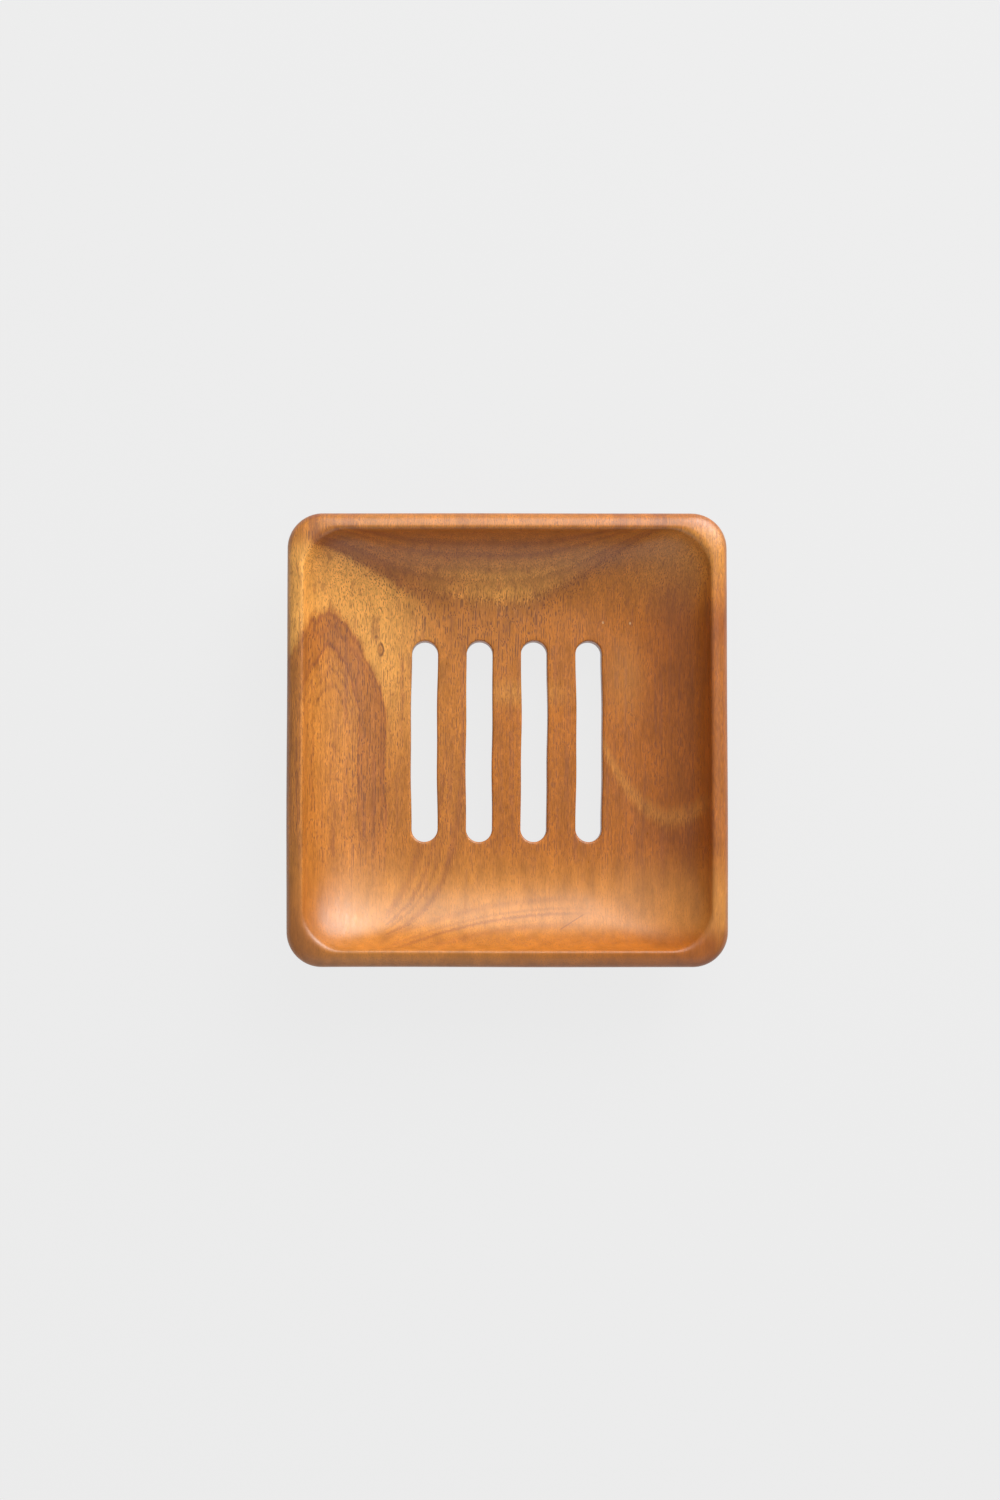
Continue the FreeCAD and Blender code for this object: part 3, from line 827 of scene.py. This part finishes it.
def add_marks(finish, wood, shade, place):
    """Darkens the knot, its eye, the smudge and the scratch, and lightens the patch and the specks."""
    hollow = HOLLOW.mask(place)
    right_side = (place.x - KNOT.middle[0]).ramp(*KNOT_RIGHT)
    ring = KNOT.far_from(place).band(KNOT_RING, KNOT_REACH) * (KNOT_DEPTH + right_side * KNOT_RIGHT_DEPTH)
    shade = finish.mix(KNOT.mask(place), shade, wood.russet)
    shade = finish.mix(ring, shade, wood.pore)
    shade = finish.mix(EYE.mask(place), shade, wood.pore)
    shade = finish.mix(SMUDGE.mask(place) * hollow, shade, wood.umber)
    shade = finish.mix(PATCH.mask(place) * hollow, shade, wood.honey)
    for speck in SPECKS:
        shade = finish.mix(speck.mask(place) * hollow, shade, wood.fleck)
    return finish.mix(scratch_mask(place) * hollow, shade, wood.umber)


def wood_finish(wood):
    """Satin lacquered wood: growth rings with dark late wood, fibres, open pores and a pin knot.

    Streaks and pores are tubes along the grain: a place in the tree's cross-section is the place across the
    grain and the growth layer, so they show as dashes on the flats and as dots where a wall cuts them."""
    finish = Finish("satin_wood")
    vector, place = finish.place()
    drift = finish.lumps(vector, DRIFT_SIZE) - 0.5
    wander = finish.lumps(vector, WANDER_SIZE, 1.0) - 0.5
    wavy = (finish.lumps(vector, WAVY_SIZE, 1.0) - 0.5) * WAVY_REACH
    fibre = finish.lumps(vector, FIBRE_SIZE, 2.0, 0.65) - 0.5
    cloud = finish.lumps(vector, CLOUD_SIZE, 3.0, 0.6) - 0.5
    dash = finish.lumps(vector, DASH_SIZE, 1.0) - 0.5
    layer = growth_layers(place) + drift * LAYER_DRIFT
    tree = [place.x + wander * WANDER_ACROSS, layer + wander * WANDER_UP, place.y]
    section = finish.node("ShaderNodeCombineXYZ", None, tree)
    streak = finish.lumps(section, STREAK_SIZE, 3.0, 0.6) - 0.5
    ragged = fibre * RAGGED_FIBRE + streak * RAGGED_STREAK + drift * RAGGED_DRIFT
    lively = 1 - CALM_END.mask(place)

    shade = board_colour(finish, wood, place, drift)
    shade, figure = add_figure(finish, wood, shade, place, layer, ragged, wavy)
    shade = finish.mix(streak.ramp(*STREAK_EDGE) * lively * STREAK_SHARE, shade, wood.umber)
    shade = finish.scaled(shade, BRIGHTNESS + fibre * lively + cloud * CLOUD_SHARE)
    shade = finish.mix(dash.ramp(*DASH_EDGE) * lively * DASH_SHARE, shade, wood.umber)
    shade = add_marks(finish, wood, shade, place)

    tubes = {"Vector": finish.stretched(section, PORE_SIZE), "Scale": 1.0}
    nearest = {"voronoi_dimensions": "2D", "feature": "F1"}
    middle = finish.node("ShaderNodeTexVoronoi", nearest, tubes, "Distance")
    crowd = layer.band(PORE_LAYER, PORE_REACH) * CROWD_LAYER + figure + CROWD + cloud * CROWD_CLOUD
    open_pores = middle.ramp(*PORE_EDGE) * crowd.ramp(*CROWD_EDGE) * lively
    shade = finish.mix(open_pores * PORE_SHARE, shade, wood.pore)

    height = fibre * RELIEF_FIBRE + streak * RELIEF_STREAK - open_pores
    roughness = wood.roughness + open_pores * ROUGH_PORE + fibre * ROUGH_FIBRE + streak * ROUGH_STREAK
    normal = finish.bump(RELIEF, height)
    return finish.surface(Base_Color=shade, Roughness=roughness, Normal=normal, IOR=LACQUER_IOR)


def bumper_finish():
    """Milky, slightly see-through silicone with a moulded skin."""
    finish = Finish("milky_silicone")
    vector, _ = finish.place()
    cloud = finish.lumps(vector, SILICONE_CLOUD, 3.0)
    grain = finish.lumps(vector, SILICONE_GRAIN, 1.0)
    return finish.surface(
        Base_Color=finish.mix(cloud.ramp(*CLOUD_EDGE), SILICONE_PALE, SILICONE_DEEP),
        Roughness=SILICONE_ROUGH + cloud * SILICONE_UNEVEN,
        Normal=finish.bump(SILICONE_RELIEF, grain),
        Transmission_Weight=SILICONE_CLEAR,
        IOR=SILICONE_IOR,
    )


def adhesive_finish():
    """Cloudy acrylic film."""
    finish = Finish("adhesive_film")
    vector, _ = finish.place()
    cloud = finish.lumps(vector, FILM_CLOUD, 3.0)
    shade = finish.mix(cloud.ramp(*CLOUD_EDGE), FILM_PALE, FILM_DEEP)
    return finish.surface(Base_Color=shade, Roughness=FILM_ROUGH + cloud * FILM_UNEVEN)


def floor_finish(stage):
    """Pale floor: matt for every other ray, mostly plain backdrop for what is seen straight or in gloss."""
    finish = Finish("pale_floor")
    path = "ShaderNodeLightPath"
    seen = finish.node(path, output="Is Camera Ray")
    for ray in ("Is Glossy Ray", "Is Transmission Ray"):
        seen = seen.maths("MAXIMUM", finish.node(path, output=ray))
    matt = finish.node("ShaderNodeBsdfDiffuse", None, {"Color": FLOOR_MATT})
    plain_light = finish.node("ShaderNodeEmission", None, {"Color": (*stage.backdrop, 1), "Strength": 1.0})
    both = finish.node("ShaderNodeMixShader", None, [seen * stage.backdrop_share, matt, plain_light])
    return finish.finish(both)


def wear(obj, material):
    """Gives an object one material in every slot."""
    if not obj.data.materials:
        obj.data.materials.append(None)
    for index in range(len(obj.data.materials)):
        obj.data.materials[index] = material


def add_object(name, data):
    obj = bpy.data.objects.new(name, data)
    bpy.context.scene.collection.objects.link(obj)
    return obj


def aim(obj, place, target):
    """Puts an object at a place, looking at a target along its own -Z, with +Y upwards in its view."""
    back = (Vector(place) - Vector(target)).normalized()
    right = Vector((0, 1, 0)).cross(back).normalized()
    turn = Matrix((right, back.cross(right), back)).transposed()
    obj.matrix_world = Matrix.Translation(place) @ turn.to_4x4()


def add_lamp(name, place, size, power):
    """A soft lamp, wider across than along, that faces the dish."""
    lamp = bpy.data.lights.new(name, "AREA")
    lamp.shape = "RECTANGLE"
    lamp.size, lamp.size_y = size
    lamp.energy = power
    aim(add_object(name, lamp), place, PICTURE_MIDDLE)


class SOAPDISH_OT_dish(Operator):
    """Adds the carved wooden dish"""

    bl_idname = "soapdish.dish"
    bl_label = "Carved Dish"

    def execute(self, context):
        dish = add_object("carved_dish", dish_mesh(settings().sizes))
        wear(dish, wood_finish(settings().wood))
        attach(dish, BODY)
        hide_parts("dish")
        return {"FINISHED"}


class SOAPDISH_OT_feet(Operator):
    """Gives the bumper feet their silicone"""

    bl_idname = "soapdish.feet"
    bl_label = "Bumper Feet"

    def execute(self, context):
        silicone = bumper_finish()
        for corner in CORNERS:
            wear(frame["nodes"][f"foot_{corner}"], silicone)
        return {"FINISHED"}


class SOAPDISH_OT_adhesive(Operator):
    """Gives the adhesive discs their film"""

    bl_idname = "soapdish.adhesive"
    bl_label = "Adhesive Discs"

    def execute(self, context):
        film = adhesive_finish()
        for corner in CORNERS:
            wear(frame["nodes"][f"adhesive_{corner}"], film)
        return {"FINISHED"}


# Stage: half the floor and its matt shade, the point at the middle of the picture, the lamps and their sizes
FLOOR_REACH, FLOOR_MATT = 1.5, (0.35, 0.35, 0.35, 1)
PICTURE_MIDDLE = (-1.86 * MM, -2.66 * MM, 22.0 * MM)
KEY_PLACE, KEY_SIZE = (0.56, 0.68, 0.45), (0.7, 0.6)
STRIP_PLACE, STRIP_SIZE = (0.2, 0.73, 0.67), (0.9, 0.8)
CARD_PLACE, CARD_SIZE = (0.0, -0.95, 0.45), (1.6, 0.9)


class SOAPDISH_OT_stage(Operator):
    """Adds the pale floor, the lamps, the room's light and the camera"""

    bl_idname = "soapdish.stage"
    bl_label = "Studio"

    def execute(self, context):
        stage = settings().stage
        scene = context.scene
        scene.view_settings.view_transform = "Standard"
        corners = square_ring(FLOOR_REACH, FLOOR_REACH, (1, 1, 1, 1))
        mesh = bpy.data.meshes.new("floor")
        mesh.from_pydata(at_height(corners, 0).tolist(), [], [list(range(4))])
        floor = add_object("floor", mesh)
        wear(floor, floor_finish(stage))

        add_lamp("key", KEY_PLACE, KEY_SIZE, stage.key_power)
        add_lamp("strip", STRIP_PLACE, STRIP_SIZE, stage.strip_power)
        add_lamp("card", CARD_PLACE, CARD_SIZE, stage.card_power)

        world = bpy.data.worlds.new("room")
        world.use_nodes = True
        background = world.node_tree.nodes["Background"]
        background.inputs["Color"].default_value = (1, 1, 1, 1)
        background.inputs["Strength"].default_value = stage.fill
        scene.world = world

        camera = bpy.data.cameras.new("camera")
        camera.lens = stage.lens
        eye = add_object("camera", camera)
        lean = Vector((-math.sin(stage.lean_x), -math.sin(stage.lean_y), 0))
        lean.z = math.sqrt(1 - lean.length_squared)
        aim(eye, Vector(PICTURE_MIDDLE) + lean * stage.distance, PICTURE_MIDDLE)
        scene.camera = eye
        return {"FINISHED"}


class SOAPDISH_PT_panel(Panel):
    """Sizes, finishes and the steps that make the dish"""

    bl_idname = "SOAPDISH_PT_panel"
    bl_label = "Soap Dish"
    bl_space_type = "VIEW_3D"
    bl_region_type = "UI"
    bl_category = "Soap Dish"

    def draw(self, context):
        for group in (settings().sizes, settings().wood, settings().stage):
            box = self.layout.box()
            for name in group.__annotations__:
                box.prop(group, name)
        for step in OPERATORS:
            self.layout.operator(step.bl_idname)


OPERATORS = (SOAPDISH_OT_dish, SOAPDISH_OT_feet, SOAPDISH_OT_adhesive, SOAPDISH_OT_stage)
CLASSES = (DishSizes, WoodFinish, StageLook, SoapDishSettings, *OPERATORS, SOAPDISH_PT_panel)


def register():
    for cls in CLASSES:
        bpy.utils.register_class(cls)
    bpy.types.Scene.soap_dish = PointerProperty(type=SoapDishSettings)


def unregister():
    del bpy.types.Scene.soap_dish
    for cls in reversed(CLASSES):
        bpy.utils.unregister_class(cls)


def main():
    register()
    bpy.ops.soapdish.dish()
    bpy.ops.soapdish.feet()
    bpy.ops.soapdish.adhesive()
    bpy.ops.soapdish.stage()


if __name__ == "__main__":
    main()
